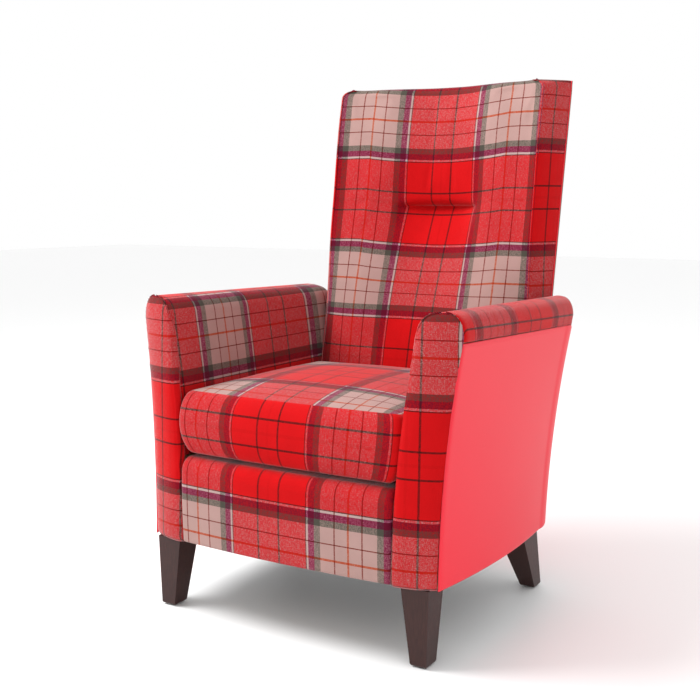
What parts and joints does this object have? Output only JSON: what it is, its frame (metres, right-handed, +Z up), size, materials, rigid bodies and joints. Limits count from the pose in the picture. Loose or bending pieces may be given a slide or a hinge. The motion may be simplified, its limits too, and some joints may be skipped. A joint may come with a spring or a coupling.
{
  "type": "fireside chair",
  "caption": "High-backed upholstered fireside armchair with a sewn lumbar tuck, flared arms, a loose zipped seat cushion and tapered wooden legs.",
  "frame": {"origin": "on the floor, in the middle of the width and halfway along the depth", "axes": "+Z up, the seat faces -Y, +X across the chair to the right of someone looking at its front"},
  "size_m": [0.7394, 0.7959, 1.12],
  "materials": {
    "tartan_wool": "woven wool tartan",
    "coral_leather": "smooth coated cloth",
    "black_cloth": "plain weave",
    "foam": "open-cell foam",
    "beech": "planed",
    "hardboard": "pressed board",
    "stained_wood": "dark stain, satin",
    "steel": "drawn",
    "glide_plastic": "moulded",
    "webbing": "woven elastic",
    "zip_tape": "woven tape and moulded teeth"
  },
  "bodies": {
    "chair": {"apron_cover": "tartan_wool", "apron_pad": "foam", "back_board": "hardboard", "back_lumbar_rail": "beech", "back_pad": "foam", "back_stuffing_rail": "beech", "back_top_rail": "beech", "back_webbing": "webbing", "deck_pad": "foam", "dust_cover": "black_cloth", "front_seat_rail": "beech", "inside_back_cover": "tartan_wool", "left_arm_facing_cover": "tartan_wool", "left_arm_facing_pad": "foam", "left_arm_front_post": "beech", "left_arm_pad": "foam", "left_arm_rear_post": "beech", "left_arm_stuffing_rail": "beech", "left_arm_top_rail": "beech", "left_back_border": "tartan_wool", "left_back_upright": "beech", "left_front_leg": "stained_wood", "left_inside_arm_cover": "tartan_wool", "left_outside_arm_cover": "coral_leather", "left_rear_leg": "stained_wood", "left_side_board": "hardboard", "left_side_seat_rail": "beech", "leg_blocks": "beech", "leg_bolts": "steel", "leg_glides": "glide_plastic", "outside_back_cover": "coral_leather", "platform_cloth": "black_cloth", "rear_bottom_rail": "beech", "rear_seat_rail": "beech", "right_arm_facing_cover": "tartan_wool", "right_arm_facing_pad": "foam", "right_arm_front_post": "beech", "right_arm_pad": "foam", "right_arm_rear_post": "beech", "right_arm_stuffing_rail": "beech", "right_arm_top_rail": "beech", "right_back_border": "tartan_wool", "right_back_upright": "beech", "right_front_leg": "stained_wood", "right_inside_arm_cover": "tartan_wool", "right_outside_arm_cover": "coral_leather", "right_rear_leg": "stained_wood", "right_side_board": "hardboard", "right_side_seat_rail": "beech", "seat_springs": "steel", "spring_clips": "steel", "tee_nuts": "steel"},
    "seat_cushion": {"cushion_zip": "zip_tape", "left_cushion_border": "tartan_wool", "right_cushion_border": "tartan_wool", "seat_cushion_cover": "tartan_wool", "seat_cushion_pad": "foam"},
    "zip_pull": {"zip_slider": "steel"}
  },
  "joints": [
    {"name": "cushion_lift", "type": "slide", "parent": "chair", "child": "seat_cushion", "axis": [0, 0, 1], "range_m": [0, 0.8]},
    {"name": "zip_run", "type": "slide", "parent": "seat_cushion", "child": "zip_pull", "axis": [1, 0, 0], "range_m": [0, 0.395]}
  ]
}
